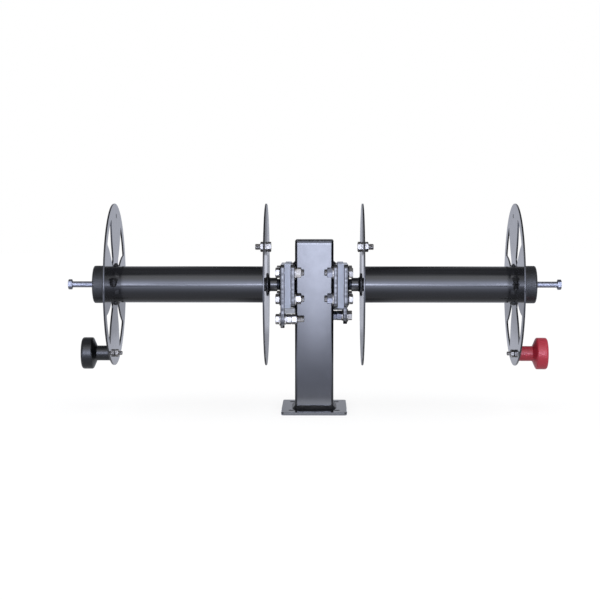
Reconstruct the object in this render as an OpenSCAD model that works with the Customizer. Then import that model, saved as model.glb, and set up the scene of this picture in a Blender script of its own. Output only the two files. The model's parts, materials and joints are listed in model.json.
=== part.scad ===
// Dual cable reel on one post, for a pair of heavy electric leads.
// Origin: middle of the base plate's underside. X runs along the reels, Z up, -Y is the front.
// The two sides are one assembly, used twice: the left one is the right one turned half a turn
// about the post. Inside a side, X is the distance outwards from the middle of the post.

/* [Base] */
// Length of the base plate along the reels
base_x = 101.6; // [92:0.1:150]
// Depth of the base plate
base_y = 152.4; // [130:0.1:200]
// Thickness of the base plate
base_t = 4.8; // [3:0.1:10]
// Corner radius of the base plate
base_corner_r = 5; // [2:0.5:9]
// Diameter of the four fixing holes
base_hole_d = 9; // [6:0.1:11]
// From the hole centres to the plate's ends, along the reels
base_hole_inset_x = 15.8; // [10:0.1:17]
// From the hole centres to the plate's front and back
base_hole_inset_y = 25.4; // [10:0.1:30]

/* [Post] */
// Width of the square post
post_w = 60; // [52:0.5:66]
// Wall of the post
post_wall = 3; // [2:0.1:5]
// Outer corner radius of the post
post_corner_r = 4; // [3:0.1:5]
// Height of the post's top above the reel axis
post_rise = 67.4; // [45:0.1:90]
// Thickness of the cap's visible head
cap_t = 3.2; // [2:0.1:6]
// Length of the cap's plug inside the post
cap_plug = 16; // [8:0.5:30]
// Weld leg round the foot of the post
foot_weld = 4.8; // [3:0.1:8]

/* [Insulated stack] */
// Height of the mounting plate and of the contact plate
plate_h = 66; // [60:0.5:72]
// Thickness of both plates
plate_t = 6.35; // [4:0.05:10]
// Corner radius of the plates
plate_corner_r = 6; // [2:0.5:9]
// Thickness of the insulator
insulator_t = 9.5; // [6:0.1:14]
// How far the insulator stands proud of the plates, top and bottom
insulator_proud = 1.2; // [0.2:0.1:1.8]
// Height of the insulator's heel
heel_h = 8.2; // [5:0.1:8.4]
// From the post's side to the stack bolts
stack_bolt_offset = 10; // [9.6:0.1:12]
// From the stack bolts to the plates' front and back edges
stack_bolt_edge = 10.8; // [10.6:0.1:14]
// From the stack bolts to the plates' top and bottom edges
stack_bolt_inset = 12.7; // [12:0.1:15]
// From the contact plate's lower edge to the feed lug bolt
tab_drop = 18.6; // [18.4:0.1:24]
// From the feed lug bolt to the tip of the tab
tab_end = 13.9; // [11:0.1:18]
// Thickness of the collars on the insulating bushes
bush_collar_t = 1.6; // [1:0.1:5]
// Diameter of the insulating bushes' sleeves
bush_sleeve_d = 12.7; // [12:0.1:15]

/* [Fasteners] */
// Bolt diameter, the same all through but for the knobs' bolts
bolt_d = 9.525; // [8:0.005:10]
// Width across the flats of heads and nuts
bolt_af = 14.29; // [13:0.01:14.8]
// Height of a bolt head
head_h = 6.2; // [4:0.1:8]
// Height of a nut
nut_h = 8.3; // [6:0.1:9]
// Diameter of the flat washers and of the bush collars
washer_d = 20.2; // [17:0.1:20.6]
// Thickness of the flat washers
washer_t = 1.6; // [1:0.1:2.5]
// Diameter of the lock washer
lock_washer_d = 17; // [15.5:0.1:17.4]
// Thickness of the lock washer
lock_washer_t = 2.4; // [1.5:0.1:3]
// Length of the stack bolts and of the feed lug bolt
stack_bolt_len = 38.1; // [37:0.1:46]
// Length of the lug stud
stud_len = 19.05; // [16:0.05:32]
// Length of the tension bolt
tension_bolt_len = 63.5; // [56:0.1:76]

/* [Reel] */
// Height of the reel axis above the floor
axis_h = 196.85; // [180:0.05:260]
// Flange diameter
flange_d = 254; // [230:1:300]
// Thickness of the flanges
flange_t = 2.66; // [2:0.01:5]
// Cable space between the flanges
spool_w = 236.1; // [180:0.1:320]
// Drum diameter
drum_d = 57.15; // [50:0.05:66]
// Wall of the drum
drum_wall = 2.1; // [1.5:0.1:3.5]
// Length of the drum past the outer flange
drum_stub = 28; // [24:0.1:45]
// From the contact plate to the inner flange
hub_gap = 21.9; // [18:0.1:40]
// Outer diameter of the hub tube
hub_d = 21.3; // [20.4:0.1:24]
// Length of the hub tube inside the drum
hub_reach = 23; // [15:0.5:60]
// Diameter of the fixed spindle
spindle_d = 17.5; // [14:0.1:18]
// Bare length of spindle between its weld and the hub tube
spindle_neck = 3; // [1:0.1:6]
// Distance of the lug stud from the drum's surface
stud_offset = 30.8; // [20:0.1:40]
// Distance of the knob from the flange's edge
knob_edge = 19; // [14:0.1:26]
// From the end plate's inner face to the tension bolt's tip
tension_reach = 18; // [14:0.5:28]
// Turn of the reels about their axis at rest, in degrees
reel_turn = 7; // [0:1:40]

/* [Windows] */
// Number of windows in an outer flange
window_count = 4; // [2:1:6]
// Half the angle that a window spans, in degrees
window_half_angle = 15.5; // [8:0.5:22]
// From the drum's surface to a window's inner end
window_hub = 15.4; // [10:0.1:25]
// From a window's outer end to the flange's edge
window_rim = 16.5; // [12:0.1:30]

/* [End cap] */
// Wall of the soft cap over the drum's end
cap_wall = 0.85; // [0.6:0.05:2]
// Thickness of the soft cap's end
cap_end_t = 3; // [2:0.1:5]
// Edge radius of the soft cap
cap_edge_r = 2.6; // [1:0.1:2.8]

/* [Knob] */
// Length of the knob
knob_len = 49.2; // [46:0.1:60]
// Diameter of the knob's head
knob_head_d = 49.5; // [40:0.5:56]
// Length of the knob's head at full diameter
knob_head_len = 11.2; // [8:0.1:15]
// Length of the cone between head and stem
knob_cone_len = 8.8; // [7:0.1:12]
// Diameter of the knob's stem
knob_stem_d = 23.4; // [20:0.1:28]
// Diameter of the knob's bolt
knob_bolt_d = 6.35; // [6:0.05:8]
// Width across the flats of that bolt's head and nut
knob_bolt_af = 11.11; // [10:0.01:13]
// Height of that bolt's head
knob_bolt_head_h = 4; // [3:0.1:6]
// Height of that bolt's nut
knob_nut_h = 5.6; // [4:0.1:8]
// Length of the knob's bolt
knob_bolt_len = 44.45; // [41:0.05:52]

/* [Hidden] */
$fn = 64;
cap_fn = 32;
hex_sides = 6;
spline_steps = 5;
arc_steps = 6;

// clearances
run_gap = 0.06;
thread_gap = 0.05;
bolt_hole_gap = 0.4;
seat_gap = 0.3;
fit_gap = 0.05;
cut_over = 1;

// weld beads
plate_weld = 4.8;
plate_bead_len = 14;
flange_tack = 5.5;
flange_tack_count = 4;
flange_tack_angle = 34;
drum_foot_weld = 2.6;
hub_weld_r = 18.2;
hub_weld_t = 3.4;
spindle_weld_r = 12.7;
spindle_weld_t = 3;

// small sizes of single pieces
plug_wall = 2;
plug_fin = 1.2;
plug_fin_t = 1.5;
thrust_washer_t = 2;
thrust_washer_d = 30;
spindle_collar_d = 28;
spindle_collar_t = 6;
spindle_chamfer = 1;
bearing_disc_t = 8;
bearing_sleeve_d = 25;
bearing_sleeve_len = 32;
bearing_cover = 18;
button_base = 6;
button_socket = 4;
end_plate_t = 8;
knob_pocket = 30;
knob_stem_round = 0.8;
knob_fillet_r = 1;
knob_edge_r = 4;
knob_back_r = 3.5;
knob_cone_turn = 65;
knob_dome = 0.9;
knob_nub_r = 3.2;
knob_nub_h = 0.7;
knob_face_inset = 4.9;
thread_chamfer = 0.8;
thread_share = 0.109;
tan_chamfer = tan(30);
head_face_share = 0.95;

// one window's outline: along the radius, and across as a share of the half angle
window_shares = [
    [0.00, 0.00], [0.00, 0.40], [0.03, 0.62], [0.10, 0.70], [0.40, 0.71], [0.62, 0.79],
    [0.80, 0.88], [0.92, 0.96], [0.975, 0.99], [1.00, 0.92], [1.00, 0.50]
];

// places outwards from the middle of the post
post_face = post_w / 2;
insulator_at = post_face + plate_t;
contact_at = insulator_at + insulator_t;
contact_out = contact_at + plate_t;
hub_at = contact_out + spindle_weld_t + spindle_neck;
inner_flange_at = contact_out + hub_gap;
spool_from = inner_flange_at + flange_t;
spool_to = spool_from + spool_w;
outer_flange_out = spool_to + flange_t;
drum_end = outer_flange_out + drum_stub;
cap_face = drum_end + cap_end_t;
hub_end = spool_from + hub_reach;
thrust_at = hub_end + seat_gap;
collar_at = thrust_at + thrust_washer_t;
end_plate_at = drum_end - end_plate_t;
// the tension bolt's tip is set by how far it is screwed in
tension_tip = end_plate_at - tension_reach;
tension_seat = tension_tip + tension_bolt_len;
button_at = tension_tip - fit_gap - button_base;
spindle_end = button_at - seat_gap;
bearing_at = spindle_end - bearing_cover;

// places across the reel axis
stack_y = post_face + stack_bolt_offset;
stack_z = plate_h / 2 - stack_bolt_inset;
plate_y = 2 * (stack_y + stack_bolt_edge);
tab_z = plate_h / 2 + tab_drop;
drum_r = drum_d / 2;
drum_bore_r = drum_r - drum_wall;
stud_r = drum_r + stud_offset;
knob_r = flange_d / 2 - knob_edge;
window_in = drum_r + window_hub;
window_out = flange_d / 2 - window_rim;
bolt_r = bolt_d / 2;
knob_bolt_r = knob_bolt_d / 2;
post_h = axis_h + post_rise - base_t;

// points on an arc
function arc(x, y, r, from, to) =
    [for (i = [0:arc_steps]) let (a = from + (to - from) * i / arc_steps) [x + r * cos(a), y + r * sin(a)]];

// a point between b and c on a smooth curve through a, b, c and d
function spline(a, b, c, d, t) =
    (2 * b + (c - a) * t + (2 * a - 5 * b + 4 * c - d) * t * t + (3 * b - a - 3 * c + d) * t * t * t) / 2;

function closed_spline(points) =
    let (n = len(points))
    [for (i = [0:n - 1], j = [0:spline_steps - 1])
        spline(points[(i + n - 1) % n], points[i], points[(i + 1) % n], points[(i + 2) % n],
            j / spline_steps)];

function polar(point) = [point[0] * sin(point[1]), point[0] * cos(point[1])];

// the window's outline as radius and angle, one side and then the other
function window_side(side) =
    [for (s = window_shares) [window_in + s[0] * (window_out - window_in), side * s[1] * window_half_angle]];

function window_outline() =
    let (right = window_side(1), left = window_side(-1), last = len(right) - 1)
    concat(right, [for (i = [last:-1:1]) left[i]]);

// lays a flat outline across the reel axis, with its thickness outwards from u
module across(u) {
    translate([u, 0, 0]) rotate([90, 0, 90]) children();
}

// one side of the part: 1 is right, -1 is left
module side(s) {
    translate([0, 0, axis_h]) rotate([0, 0, s > 0 ? 0 : 180]) children();
}

// one reel, turned as it rests, with the knob a little in front of its lowest place
module reel(s) {
    side(s) rotate([-s * reel_turn, 0, 0]) children();
}

module rounded_rect(x, y, r) {
    square([x - 2 * r, y], center = true);
    square([x, y - 2 * r], center = true);
    for (i = [-1, 1], j = [-1, 1]) translate([i * (x / 2 - r), j * (y / 2 - r)]) circle(r);
}

// hexagonal prism, one flat to the front
module prism(h, r) {
    rotate([0, 0, 180 / hex_sides]) cylinder(h = h, r = r, $fn = hex_sides);
}

function corner_r(af) = af / 2 / cos(180 / hex_sides);

// radius at the middle of the thread's depth
function thread_r(d) = d / 2 * (1 - thread_share);

// hexagon with its outer corners chamfered away, for heads (one end) and nuts (both ends)
module hexagon(h, af, both_ends) {
    r = corner_r(af);
    face_r = af / 2 * head_face_share;
    drop = (r - face_r) * tan_chamfer;
    foot = both_ends ? [[face_r, 0], [r, drop]] : [[r, 0]];
    intersection() {
        prism(h, r);
        rotate_extrude() polygon(concat([[0, 0]], foot, [[r, h - drop], [face_r, h], [0, h]]));
    }
}

// hex bolt with its seat at 0 and its shank upwards; where nuts hold it, from nuts_at on, the
// shank has the thread's middle depth, so that each nut is caught as a thread catches it
module bolt(length, nuts_at, nuts_len, d = bolt_d, af = bolt_af, head = head_h) {
    r = d / 2;
    held_to = nuts_at + nuts_len + seat_gap;
    held = nuts_len > 0
        ? [[r, nuts_at], [thread_r(d), nuts_at], [thread_r(d), held_to], [r, held_to]] : [];
    mirror([0, 0, 1]) hexagon(head, af, false);
    rotate_extrude() polygon(concat([[0, -head / 2], [r, -head / 2]], held,
        [[r, length - thread_chamfer], [r - thread_chamfer, length], [0, length]]));
}

// bolt with its head outwards from the seat at u and its shank inwards, and its nuts from nuts_u on
module bolt_in(u, length, nuts_u, nuts_len, d = bolt_d, af = bolt_af, head = head_h) {
    across(u) mirror([0, 0, 1]) bolt(length, u - nuts_u, nuts_len, d, af, head);
}

module nut(u, d = bolt_d, af = bolt_af, h = nut_h) {
    across(u) difference() {
        hexagon(h, af, true);
        translate([0, 0, -cut_over]) cylinder(h = h + 2 * cut_over, r = thread_r(d) + thread_gap);
    }
}

module washer(u, d, t) {
    across(u) linear_extrude(t) difference() {
        circle(d = d);
        circle(r = bolt_r + bolt_hole_gap);
    }
}

module at_stack_bolts() {
    for (y = [-stack_y, stack_y], z = [-stack_z, stack_z]) translate([0, y, z]) children();
}

module at_lug_bolt() {
    translate([0, stack_y, -tab_z]) children();
}

// triangular bead in the corner of two square faces, centred on its length
module straight_bead(length, leg) {
    translate([0, 0, -length / 2]) linear_extrude(length) polygon([[0, 0], [leg, 0], [0, leg]]);
}

// weld round a tube against a face at u, with a flat toe and a sloping cap
module ring_bead(u, r, leg, angle = 360) {
    across(u) rotate([0, 0, -angle / 2]) rotate_extrude(angle = angle)
        polygon([[r, 0], [r + leg, 0], [r + leg, leg / 3], [r + leg / 3, leg], [r, leg]]);
}

module base_plate() {
    color("dimgray") linear_extrude(base_t) difference() {
        rounded_rect(base_x, base_y, base_corner_r);
        for (i = [-1, 1], j = [-1, 1])
            translate([i * (base_x / 2 - base_hole_inset_x), j * (base_y / 2 - base_hole_inset_y)])
                circle(d = base_hole_d);
    }
}

module base_weld() {
    flat = post_w - 2 * post_corner_r;
    color("black") translate([0, 0, base_t]) {
        for (a = [0:90:270]) rotate([0, 0, a]) {
            translate([post_face, 0, 0]) rotate([90, 0, 0]) straight_bead(flat, foot_weld);
            translate([flat / 2, flat / 2, 0]) rotate_extrude(angle = 90)
                polygon([[post_corner_r, 0], [post_corner_r + foot_weld, 0], [post_corner_r, foot_weld]]);
        }
    }
}

module post_tube() {
    bore = post_w - 2 * post_wall;
    color("dimgray") translate([0, 0, base_t]) linear_extrude(post_h) difference() {
        rounded_rect(post_w, post_w, post_corner_r);
        rounded_rect(bore, bore, max(post_corner_r - post_wall, fit_gap));
    }
}

module post_cap() {
    plug = post_w - 2 * post_wall - 2 * seat_gap - 2 * plug_fin;
    top = base_t + post_h;
    corner = post_w / 2 - post_corner_r;
    dome_r = min(post_corner_r, cap_t) * 0.8;
    color("black") {
        translate([0, 0, top]) hull()
            for (i = [-1, 1], j = [-1, 1]) translate([i * corner, j * corner, 0])
                rotate_extrude($fn = cap_fn) polygon(concat([[0, 0], [post_corner_r, 0]],
                    arc(post_corner_r - dome_r, cap_t - dome_r, dome_r, 0, 90), [[0, cap_t]]));
        translate([0, 0, top - cap_plug]) linear_extrude(cap_plug) difference() {
            square(plug, center = true);
            square(plug - 2 * plug_wall, center = true);
        }
        for (z = [cap_plug / 4, cap_plug * 5 / 8])
            translate([0, 0, top - cap_plug + z]) linear_extrude(plug_fin_t) difference() {
                square(plug + 2 * plug_fin, center = true);
                square(plug - plug_wall, center = true);
            }
    }
}

module plate_outline() {
    rounded_rect(plate_y, plate_h, plate_corner_r);
}

module stack_holes(r) {
    for (y = [-stack_y, stack_y], z = [-stack_z, stack_z]) translate([y, z]) circle(r);
}

module mounting_plate(s) {
    color("dimgray") side(s) across(post_face) linear_extrude(plate_t) difference() {
        plate_outline();
        stack_holes(bolt_r + bolt_hole_gap);
    }
}

// beads along the plate's top and bottom edges on the post, and in the corners in front and behind
module plate_welds(s) {
    bead = post_w - 2 * post_corner_r;
    color("black") side(s) {
        for (j = [0, 1]) mirror([0, 0, j]) translate([post_face, 0, plate_h / 2])
            rotate([90, 0, 0]) straight_bead(bead, min(plate_weld, plate_t));
        for (j = [0, 1]) mirror([0, j, 0]) translate([0, 0, -plate_bead_len / 2])
            linear_extrude(plate_bead_len) difference() {
                polygon([[post_face, post_face + plate_weld], [post_face - plate_weld, post_face],
                    [post_face - plate_weld, post_face - post_corner_r],
                    [post_face, post_face - post_corner_r]]);
                rounded_rect(post_w, post_w, post_corner_r);
            }
    }
}

module insulator(s) {
    tall = plate_h + 2 * insulator_proud;
    heel_from = post_face + seat_gap;
    color("lightsteelblue") side(s) {
        across(insulator_at) linear_extrude(insulator_t) difference() {
            square([plate_y, tall], center = true);
            stack_holes(bush_sleeve_d / 2 + fit_gap);
        }
        translate([post_face, heel_from, -tall / 2 - heel_h])
            cube([plate_t + insulator_t, plate_y / 2 - heel_from, heel_h]);
    }
}

// the live plate: the spindle is welded into its middle, and the feed lug is bolted to its tab
module contact_plate(s) {
    color("dimgray") side(s) across(contact_at) linear_extrude(plate_t) difference() {
        union() {
            plate_outline();
            translate([stack_y, -(tab_z + tab_end - stack_bolt_edge)]) circle(stack_bolt_edge);
            translate([stack_y - stack_bolt_edge, -(tab_z + tab_end - stack_bolt_edge)])
                square([2 * stack_bolt_edge, tab_z + tab_end - stack_bolt_edge]);
        }
        stack_holes(bush_sleeve_d / 2 + fit_gap);
        translate([stack_y, -tab_z]) circle(bolt_r + bolt_hole_gap);
        circle(d = spindle_d);
    }
}

// shouldered bushes that keep the stack bolts off the live plate
module insulating_bushes(s) {
    bore_r = bolt_r + bolt_hole_gap / 2;
    sleeve = plate_t + insulator_t;
    color("black") side(s) at_stack_bolts() across(contact_out - sleeve) rotate_extrude()
        polygon([[bore_r, 0], [bush_sleeve_d / 2, 0], [bush_sleeve_d / 2, sleeve],
            [washer_d / 2, sleeve], [washer_d / 2, sleeve + bush_collar_t],
            [bore_r, sleeve + bush_collar_t]]);
}

module stack_bolts(s) {
    color("silver") side(s) at_stack_bolts()
        bolt_in(contact_out + bush_collar_t, stack_bolt_len, post_face - washer_t, nut_h);
}

// a flat washer under each stack nut, and the feed lug bolt's flat and lock washers
module washers(s) {
    color("silver") side(s) {
        at_stack_bolts() washer(post_face - washer_t, washer_d, washer_t);
        at_lug_bolt() washer(contact_out, washer_d, washer_t);
        at_lug_bolt() washer(contact_at - lock_washer_t, lock_washer_d, lock_washer_t);
    }
}

module stack_nuts(s) {
    color("silver") side(s) at_stack_bolts() nut(post_face - washer_t - nut_h);
}

module lug_bolt(s) {
    color("silver") side(s) at_lug_bolt()
        bolt_in(contact_out + washer_t, stack_bolt_len, contact_at - lock_washer_t, 2 * nut_h);
}

// the cable's eye goes between these two
module lug_nuts(s) {
    first = contact_at - lock_washer_t - nut_h;
    color("silver") side(s) for (u = [first, first - nut_h]) at_lug_bolt() nut(u);
}

// fixed spindle with the collar that holds the reel on
module spindle(s) {
    r = spindle_d / 2;
    color("darkslategray") side(s) across(contact_at) rotate_extrude() polygon([
        [0, 0], [r, 0], [r, collar_at - contact_at],
        [spindle_collar_d / 2, collar_at - contact_at],
        [spindle_collar_d / 2, collar_at - contact_at + spindle_collar_t],
        [r, collar_at - contact_at + spindle_collar_t],
        [r, spindle_end - contact_at - spindle_chamfer],
        [r - spindle_chamfer, spindle_end - contact_at], [0, spindle_end - contact_at]
    ]);
}

module spindle_weld(s) {
    r = spindle_d / 2;
    color("black") side(s) across(contact_out) rotate_extrude()
        polygon([[r, 0], [spindle_weld_r, 0], [spindle_weld_r, spindle_weld_t / 2],
            [r + spindle_weld_t / 3, spindle_weld_t], [r, spindle_weld_t]]);
}

module thrust_washer(s) {
    color("goldenrod") side(s) across(thrust_at) linear_extrude(thrust_washer_t) difference() {
        circle(d = thrust_washer_d);
        circle(r = spindle_d / 2 + fit_gap);
    }
}

module drum_tube(s) {
    color("black") reel(s) across(spool_from) linear_extrude(drum_end - spool_from) difference() {
        circle(r = drum_r);
        circle(r = drum_bore_r);
    }
}

module inner_flange(s) {
    color("dimgray") reel(s) across(inner_flange_at) linear_extrude(flange_t) difference() {
        circle(d = flange_d);
        circle(d = hub_d);
        translate([0, stud_r]) circle(r = bolt_r + bolt_hole_gap);
    }
}

// the knob's bolt turns in the lower hole, and the upper one takes the knob on the other side
module outer_flange(s) {
    color("dimgray") reel(s) across(spool_to) linear_extrude(flange_t) difference() {
        circle(d = flange_d);
        circle(d = drum_d);
        for (y = [-knob_r, knob_r]) translate([0, y]) circle(r = knob_bolt_r + run_gap);
        for (i = [0:window_count - 1]) rotate((i + 0.5) * 360 / window_count)
            polygon([for (p = closed_spline(window_outline())) polar(p)]);
    }
}

module hub_tube(s) {
    color("black") reel(s) across(hub_at) linear_extrude(hub_end - hub_at) difference() {
        circle(d = hub_d);
        circle(r = spindle_d / 2 + run_gap);
    }
}

// the collar of weld on the hub tube, the bead at the drum's foot and the tacks at the outer flange
module reel_welds(s) {
    hub_r = hub_d / 2;
    color("black") reel(s) {
        across(inner_flange_at) mirror([0, 0, 1]) rotate_extrude()
            polygon([[hub_r, 0], [hub_weld_r, 0], [hub_weld_r, hub_weld_t * 2 / 3],
                [hub_weld_r - hub_weld_t / 3, hub_weld_t], [hub_r + hub_weld_t / 2, hub_weld_t * 5 / 4],
                [hub_r, hub_weld_t * 2]]);
        ring_bead(spool_from, drum_r, drum_foot_weld);
        for (i = [0:flange_tack_count - 1]) rotate([i * 360 / flange_tack_count, 0, 0])
            mirror([1, 0, 0]) ring_bead(-spool_to, drum_r, flange_tack, flange_tack_angle);
    }
}

// disc welded into the drum, with the long bore that carries the spindle's end and the brake button
module outer_bearing(s) {
    bore_r = spindle_d / 2 + run_gap;
    color("goldenrod") reel(s) across(bearing_at) rotate_extrude()
        polygon([[bore_r, 0], [drum_bore_r, 0], [drum_bore_r, bearing_disc_t],
            [bearing_sleeve_d / 2, bearing_disc_t], [bearing_sleeve_d / 2, bearing_sleeve_len],
            [bore_r, bearing_sleeve_len]]);
}

module end_plate(s) {
    color("dimgray") reel(s) across(end_plate_at) linear_extrude(end_plate_t) difference() {
        circle(r = drum_bore_r);
        circle(r = bolt_r + thread_gap);
    }
}

module end_cap(s) {
    depth = cap_face - outer_flange_out;
    inner = depth - cap_end_t;
    outer_r = drum_r + cap_wall;
    color("black") reel(s) across(outer_flange_out) rotate_extrude()
        polygon(concat([[drum_r, 0], [outer_r, 0]],
            arc(outer_r - cap_edge_r, depth - cap_edge_r, cap_edge_r, 0, 90),
            [[bolt_r + bolt_hole_gap, depth], [bolt_r + bolt_hole_gap, inner], [drum_r, inner]]));
}

module lug_stud(s) {
    color("silver") reel(s) translate([0, 0, stud_r]) across(inner_flange_at)
        bolt(stud_len, flange_t, nut_h);
}

module stud_nut(s) {
    color("silver") reel(s) translate([0, 0, stud_r]) nut(spool_from);
}

// pressed against the spindle's end by the tension bolt: it brakes the reel and keeps it in contact
module brake_button(s) {
    r = spindle_d / 2;
    socket_r = bolt_r + run_gap;
    long = button_base + button_socket;
    color("goldenrod") reel(s) across(button_at) rotate_extrude()
        polygon([[0, 0], [r, 0], [r, long], [socket_r, long], [socket_r, button_base], [0, button_base]]);
}

module tension_bolt(s) {
    color("silver") reel(s) bolt_in(tension_seat, tension_bolt_len, tension_seat, 0);
}

// profile of the knob from the flange outwards
function knob_profile() = let (
    stem = knob_stem_d / 2,
    head = knob_head_d / 2,
    front = knob_len - knob_face_inset,
    back = front - knob_head_len,
    foot = back - knob_cone_len
) concat(
    [[0, 0], [stem - knob_stem_round, 0], [stem, knob_stem_round]],
    arc(stem + knob_fillet_r, foot, knob_fillet_r, 180, 180 - knob_cone_turn),
    arc(head - knob_back_r, back, knob_back_r, -knob_cone_turn, 0),
    arc(head - knob_edge_r, front, knob_edge_r, 0, 64),
    [[(head - knob_edge_r) / 2, knob_len - knob_dome / 4], [knob_nub_r, knob_len],
        [knob_nub_r * 0.8, knob_len + knob_nub_h], [0, knob_len + knob_nub_h]]
);

module at_knob(s) {
    reel(s) translate([0, 0, -knob_r]) children();
}

module knob(s) {
    color(s > 0 ? "crimson" : "black") at_knob(s) across(outer_flange_out + seat_gap) difference() {
        rotate_extrude() polygon(knob_profile());
        translate([0, 0, -cut_over])
            cylinder(h = knob_pocket + 2 * cut_over, r = knob_bolt_r + fit_gap);
        translate([0, 0, knob_pocket - fit_gap])
            prism(knob_bolt_head_h + 2 * fit_gap, corner_r(knob_bolt_af) + fit_gap);
    }
}

module knob_bolt(s) {
    color("silver") at_knob(s)
        bolt_in(outer_flange_out + seat_gap + knob_pocket, knob_bolt_len, spool_to - seat_gap,
            knob_nut_h, knob_bolt_d, knob_bolt_af, knob_bolt_head_h);
}

// lock nut, left just off the flange so that the knob spins
module knob_nut(s) {
    color("silver") at_knob(s)
        nut(spool_to - seat_gap - knob_nut_h, knob_bolt_d, knob_bolt_af, knob_nut_h);
}

base_plate();
base_weld();
post_tube();
post_cap();
mounting_plate(-1);  // left_mounting_plate
plate_welds(-1);  // left_plate_welds
insulator(-1);  // left_insulator
contact_plate(-1);  // left_contact_plate
insulating_bushes(-1);  // left_insulating_bushes
stack_bolts(-1);  // left_stack_bolts
washers(-1);  // left_washers
stack_nuts(-1);  // left_stack_nuts
lug_bolt(-1);  // left_lug_bolt
lug_nuts(-1);  // left_lug_nuts
spindle(-1);  // left_spindle
spindle_weld(-1);  // left_spindle_weld
thrust_washer(-1);  // left_thrust_washer
drum_tube(-1);  // left_drum_tube
inner_flange(-1);  // left_inner_flange
outer_flange(-1);  // left_outer_flange
hub_tube(-1);  // left_hub_tube
reel_welds(-1);  // left_reel_welds
outer_bearing(-1);  // left_outer_bearing
end_plate(-1);  // left_end_plate
end_cap(-1);  // left_end_cap
lug_stud(-1);  // left_lug_stud
stud_nut(-1);  // left_stud_nut
brake_button(-1);  // left_brake_button
tension_bolt(-1);  // left_tension_bolt
knob(-1);  // left_knob
knob_bolt(-1);  // left_knob_bolt
knob_nut(-1);  // left_knob_nut
mounting_plate(1);  // right_mounting_plate
plate_welds(1);  // right_plate_welds
insulator(1);  // right_insulator
contact_plate(1);  // right_contact_plate
insulating_bushes(1);  // right_insulating_bushes
stack_bolts(1);  // right_stack_bolts
washers(1);  // right_washers
stack_nuts(1);  // right_stack_nuts
lug_bolt(1);  // right_lug_bolt
lug_nuts(1);  // right_lug_nuts
spindle(1);  // right_spindle
spindle_weld(1);  // right_spindle_weld
thrust_washer(1);  // right_thrust_washer
drum_tube(1);  // right_drum_tube
inner_flange(1);  // right_inner_flange
outer_flange(1);  // right_outer_flange
hub_tube(1);  // right_hub_tube
reel_welds(1);  // right_reel_welds
outer_bearing(1);  // right_outer_bearing
end_plate(1);  // right_end_plate
end_cap(1);  // right_end_cap
lug_stud(1);  // right_lug_stud
stud_nut(1);  // right_stud_nut
brake_button(1);  // right_brake_button
tension_bolt(1);  // right_tension_bolt
knob(1);  // right_knob
knob_bolt(1);  // right_knob_bolt
knob_nut(1);  // right_knob_nut
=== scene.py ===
import json
import math
import random

import bmesh
import bpy
from mathutils import Matrix, Vector, geometry, noise


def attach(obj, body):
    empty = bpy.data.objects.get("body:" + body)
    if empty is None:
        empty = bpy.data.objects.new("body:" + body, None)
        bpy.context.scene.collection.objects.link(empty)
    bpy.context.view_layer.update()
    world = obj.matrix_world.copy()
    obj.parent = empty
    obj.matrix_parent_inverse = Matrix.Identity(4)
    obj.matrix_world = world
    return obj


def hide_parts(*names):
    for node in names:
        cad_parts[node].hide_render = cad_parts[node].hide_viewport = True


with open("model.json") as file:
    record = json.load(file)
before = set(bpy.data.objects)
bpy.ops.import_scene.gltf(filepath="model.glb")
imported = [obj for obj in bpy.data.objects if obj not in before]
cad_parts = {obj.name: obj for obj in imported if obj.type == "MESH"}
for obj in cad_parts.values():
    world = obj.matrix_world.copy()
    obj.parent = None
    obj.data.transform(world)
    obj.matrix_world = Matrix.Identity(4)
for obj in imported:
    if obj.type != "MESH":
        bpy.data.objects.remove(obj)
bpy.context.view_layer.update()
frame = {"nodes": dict(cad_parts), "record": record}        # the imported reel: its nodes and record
nodes = frame["nodes"]
mm = 0.001
scene = bpy.context.scene
print("frame loaded:", len(nodes), "nodes")


# colours and nodes

def linear(hexColour):
    channels = [int(hexColour[i:i + 2], 16) / 255 for i in (1, 3, 5)]
    return [c / 12.92 if c <= 0.04045 else ((c + 0.055) / 1.055) ** 2.4 for c in channels] + [1]


# adds a node with its settings and its ramp's stops, and sets or links its inputs; a node given as an
# input stands for its first output in use
def addNode(tree, kind, inputs=None, stops=None, **settings):
    node = tree.nodes.new("ShaderNode" + kind)
    for name, value in settings.items():
        setattr(node, name, value)
    for name, value in (inputs or {}).items():
        if isinstance(value, bpy.types.Node):
            value = next(socket for socket in value.outputs if socket.enabled)
        if isinstance(value, bpy.types.NodeSocket):
            tree.links.new(value, node.inputs[name])
        else:
            node.inputs[name].default_value = value
    if stops:
        elements = node.color_ramp.elements
        elements.remove(elements[-1])
        for i, (place, colour) in enumerate(stops):
            element = elements.new(place) if i else elements[0]
            element.position = place
            element.color = colour
    return node


def newMaterial(name):
    material = bpy.data.materials.new(name)
    material.use_nodes = True
    tree = material.node_tree
    tree.nodes.clear()
    return material, tree


# a cloudy pattern with grains of a size in millimetres
def grain(tree, size, detail):
    coordinates = addNode(tree, "TexCoord").outputs["Object"]
    mapping = addNode(tree, "Mapping", {"Vector": coordinates, "Scale": [1 / (size * mm)] * 3})
    return addNode(tree, "TexNoise", {"Vector": mapping, "Scale": 1.0, "Detail": detail})


# surface whose colour drifts between two shades by one pattern, and whose roughness drifts by another
def addSurface(tree, look, shades, wear, bump, inputs):
    colour = addNode(tree, "Mix", {
        "Factor": shades, "A": linear(look["colour"]), "B": linear(look["shade"])}, data_type="RGBA")
    smooth, rough = look["roughness"]
    roughness = addNode(tree, "MapRange", {"Value": wear, "To Min": smooth, "To Max": rough})
    shader = addNode(tree, "BsdfPrincipled", {
        "Base Color": colour, "Roughness": roughness, "Normal": bump, **inputs})
    addNode(tree, "OutputMaterial", {"Surface": shader})


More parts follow.
